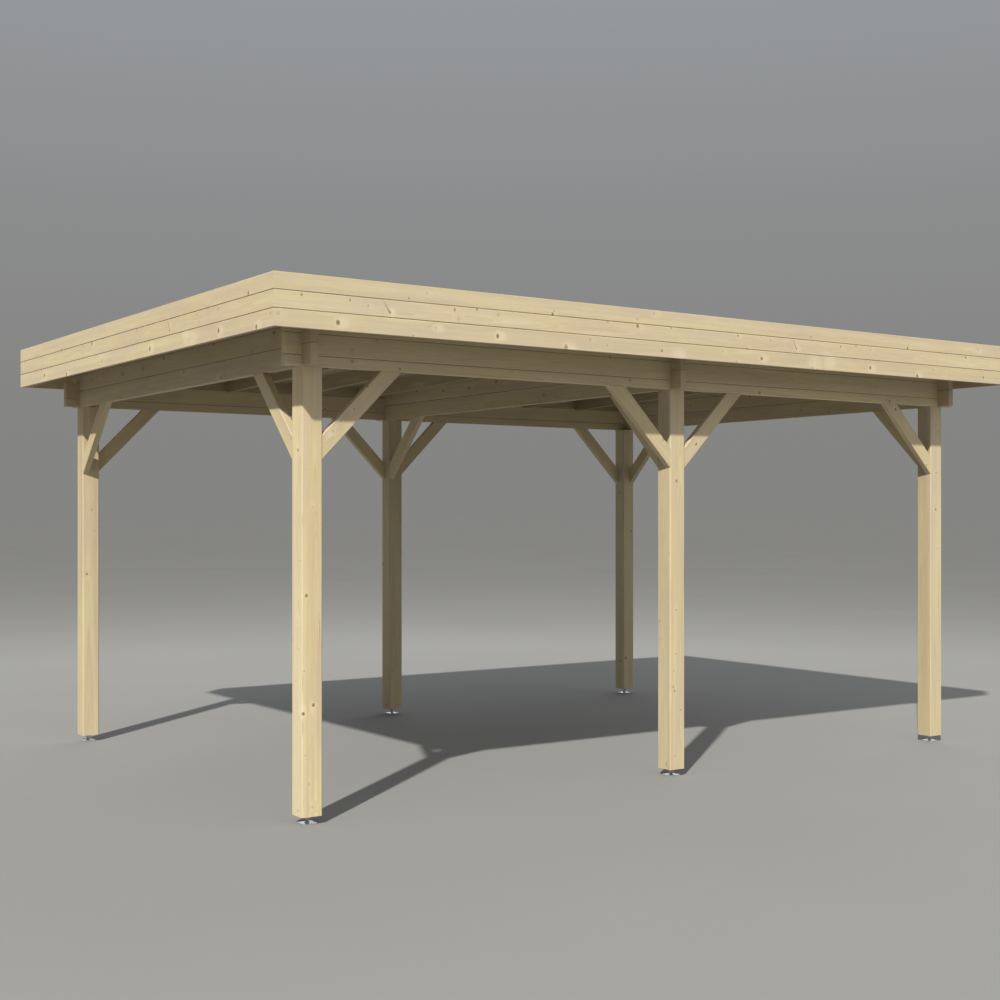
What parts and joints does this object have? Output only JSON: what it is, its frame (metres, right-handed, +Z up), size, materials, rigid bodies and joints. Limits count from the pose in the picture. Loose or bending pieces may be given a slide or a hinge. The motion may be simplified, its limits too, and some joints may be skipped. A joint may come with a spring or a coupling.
{
  "type": "carport",
  "caption": "Open timber carport with square posts on steel feet, interlocking log-plank beams, knee braces, a boarded and felted flat roof and a deep grooved fascia.",
  "frame": {"origin": "on level ground, under the middle of the roof's outline", "axes": "+X runs along the carport from its open front to its rear, +Y points to its left-hand side, +Z is up"},
  "size_m": [5.75, 4.21, 2.8341],
  "materials": {
    "post_timber": "planed",
    "frame_timber": "planed",
    "roof_timber": "planed",
    "fascia_timber": "planed",
    "foot_steel": "galvanised",
    "roofing_felt": "mineral"
  },
  "bodies": {
    "root": {"post_front_right": "post_timber", "foot_front_right": "foot_steel", "braces_front_right": "frame_timber", "post_front_left": "post_timber", "foot_front_left": "foot_steel", "braces_front_left": "frame_timber", "post_middle_right": "post_timber", "foot_middle_right": "foot_steel", "braces_middle_right": "frame_timber", "post_middle_left": "post_timber", "foot_middle_left": "foot_steel", "braces_middle_left": "frame_timber", "post_rear_right": "post_timber", "foot_rear_right": "foot_steel", "braces_rear_right": "frame_timber", "post_rear_left": "post_timber", "foot_rear_left": "foot_steel", "braces_rear_left": "frame_timber", "beam_right_1": "frame_timber", "beam_right_2": "frame_timber", "beam_right_3": "frame_timber", "beam_left_1": "frame_timber", "beam_left_2": "frame_timber", "beam_front_1": "frame_timber", "beam_front_2": "frame_timber", "beam_front_3": "frame_timber", "beam_middle_1": "frame_timber", "beam_middle_2": "frame_timber", "beam_middle_3": "frame_timber", "beam_rear_1": "frame_timber", "beam_rear_2": "frame_timber", "beam_rear_3": "frame_timber", "eaves_blocks_right": "roof_timber", "fascia_right": "fascia_timber", "eaves_blocks_left": "roof_timber", "fascia_left": "fascia_timber", "rafters_front": "roof_timber", "verge_rafter_front": "roof_timber", "fascia_front": "fascia_timber", "rafters_rear": "roof_timber", "verge_rafter_rear": "roof_timber", "fascia_rear": "fascia_timber", "roof_deck": "roof_timber", "roof_felt": "roofing_felt", "felt_upstands": "roofing_felt"}
  },
  "joints": []
}
